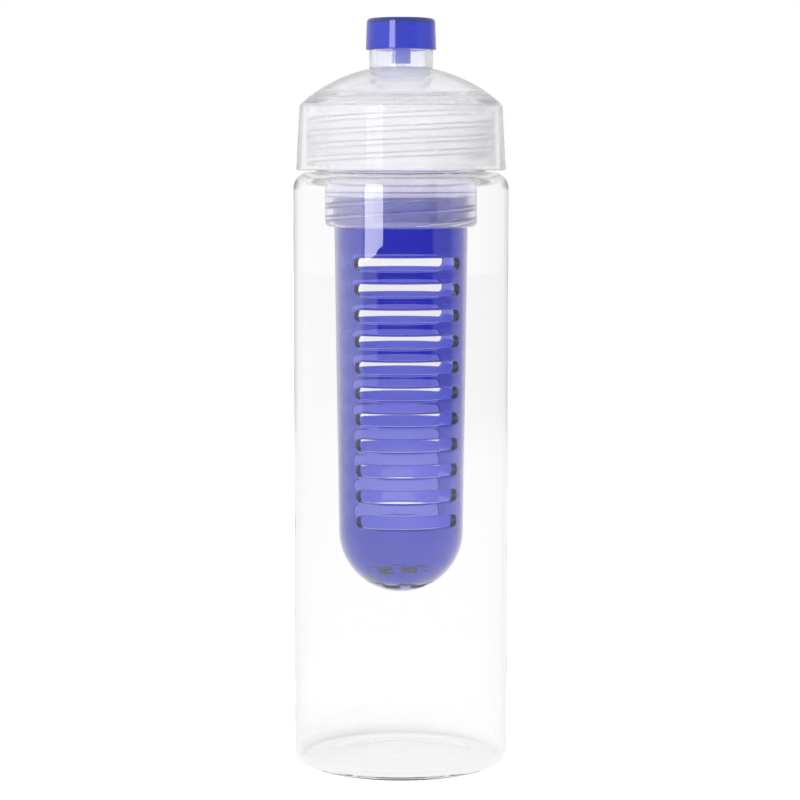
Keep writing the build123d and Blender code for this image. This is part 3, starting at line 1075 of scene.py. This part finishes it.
# Lid: one moulding of natural, milky plastic, a shallow dome with an outer skirt, an
# inner skirt that carries the thread, and a rib that holds the collar's flange down.
skirt_foot = 202.9
lid_radius = 35.5
lid_top_radius = 34.33
lid_wall = 1.6
dome_radius = 51.05
dome_centre = 187.16
thread_skirt_bore = 30.6
thread_skirt_wall = 1.6
spout_hole = 10.3
rib_bore = 27.4
rib_radius = 28.9
dome_start = lid_top_radius - 1.3
hole_edge = spout_hole + 1.0
rib_edge = rib_bore - 1.6
lid_thread = {"Crest Height": 212.5, "Foot": 206.2, "Top": 222.6, "Lead": lid_lead,
              "Pitch": lid_pitch, "Depth": -1.7, "Crest": 0.9, "Flank": 0.75, "Run": 1.0}
natural_plastic = moulded("natural milky plastic", (0.992, 0.992, 0.992), 0.058, 1.49,
                          clearness=0.9, streaks=9.0, grain_scale=1300.0, grain=0.03,
                          gloss=0.15, milkiness=0.13)


def dome_at(radius, inset=0):
    """Height of the dome, or of its underside where an inset is given, at a radius."""
    return dome_centre + math.sqrt((dome_radius - inset) ** 2 - radius**2)


def dome_run(start, end, inset, steps):
    """Places along the dome between two radii, without the ends."""
    return [(radius, dome_at(radius, inset)) for radius in np.linspace(start, end, steps + 1)[1:-1]]


inner_top_radius = lid_top_radius - lid_wall
lid_foot_inner = lid_radius - lid_wall
skirt_outer = thread_skirt_bore + thread_skirt_wall
thread_foot = skirt_foot + 1.5
lid_start = [(lid_foot_inner, skirt_foot, 0.4), (lid_radius, skirt_foot, 0.5),
             (lid_top_radius, dome_at(lid_top_radius), 2.4)]
lid_outside = dome_run(dome_start, hole_edge, inset=0, steps=20)
lid_hole = [(spout_hole, dome_at(spout_hole), 0.3),
            (spout_hole, dome_at(spout_hole, lid_wall), 0.3)]
lid_under = dome_run(hole_edge, rib_edge, inset=lid_wall, steps=10)
lid_rib = [(rib_bore, dome_at(rib_bore, lid_wall), 1.4), (rib_bore, flange_top, 0.5),
           (rib_radius, flange_top, 0.5), (rib_radius, dome_at(rib_radius, lid_wall), 0.7)]
lid_bore = [(thread_skirt_bore, dome_at(thread_skirt_bore, lid_wall), 0.7),
            (thread_skirt_bore, thread_foot, 0.4), (skirt_outer, thread_foot, 0.4),
            (skirt_outer, dome_at(skirt_outer, lid_wall), 0.3),
            (inner_top_radius, dome_at(inner_top_radius, lid_wall), 0.8)]
lid_section = lid_start + lid_outside + lid_hole + lid_under + lid_rib + lid_bore
bore_run = len(lid_section) - len(lid_bore)
lid_mesh = turned("lid_shell_dome", lid_section, natural_plastic, threaded={bore_run},
                  thread=lid_thread)
shown_piece("lid_shell_dome", lid_mesh, "lid", "lid_shell")


# Cap: a glossy blue cup that is pulled up to drink, with a lip that snaps over the
# spout's bead and a sleeve inside that shuts on the plug.
cap_radius = 11.9
cap_top_radius = 11.53
cap_top = 253.95
cap_ceiling = 252.35
cap_bore = 10.3
lip_bore = 10.0
lip_top = cap_seat + 1.0
plug_hole = 2.0
sleeve_radius = 3.3
sleeve_foot = 238.75
cap_section = [
    (lip_bore, cap_seat, 0.2), (cap_radius, cap_seat, 0.4), (cap_top_radius, cap_top, 1.4),
    (plug_hole, cap_top, 0.4), (plug_hole, sleeve_foot, 0.15), (sleeve_radius, sleeve_foot, 0.2),
    (sleeve_radius, cap_ceiling, 0.3), (cap_bore, cap_ceiling, 0.4), (cap_bore, lip_top, 0.1),
    (lip_bore, lip_top, 0.1),
]
blue_cap = moulded("translucent blue plastic", (0.19, 0.25, 0.9), 0.06, 1.53, clearness=0.8,
                   ripple=0.04, gloss=0.7, absorbs=(0.09, 0.05, 0.84), density=900.0,
                   shade=(0.6, 0.6, 0.95), milkiness=0.03)
cap_mesh = turned("push_pull_cap_blue", cap_section, blue_cap)
shown_piece("push_pull_cap_blue", cap_mesh, "cap", "push_pull_cap")
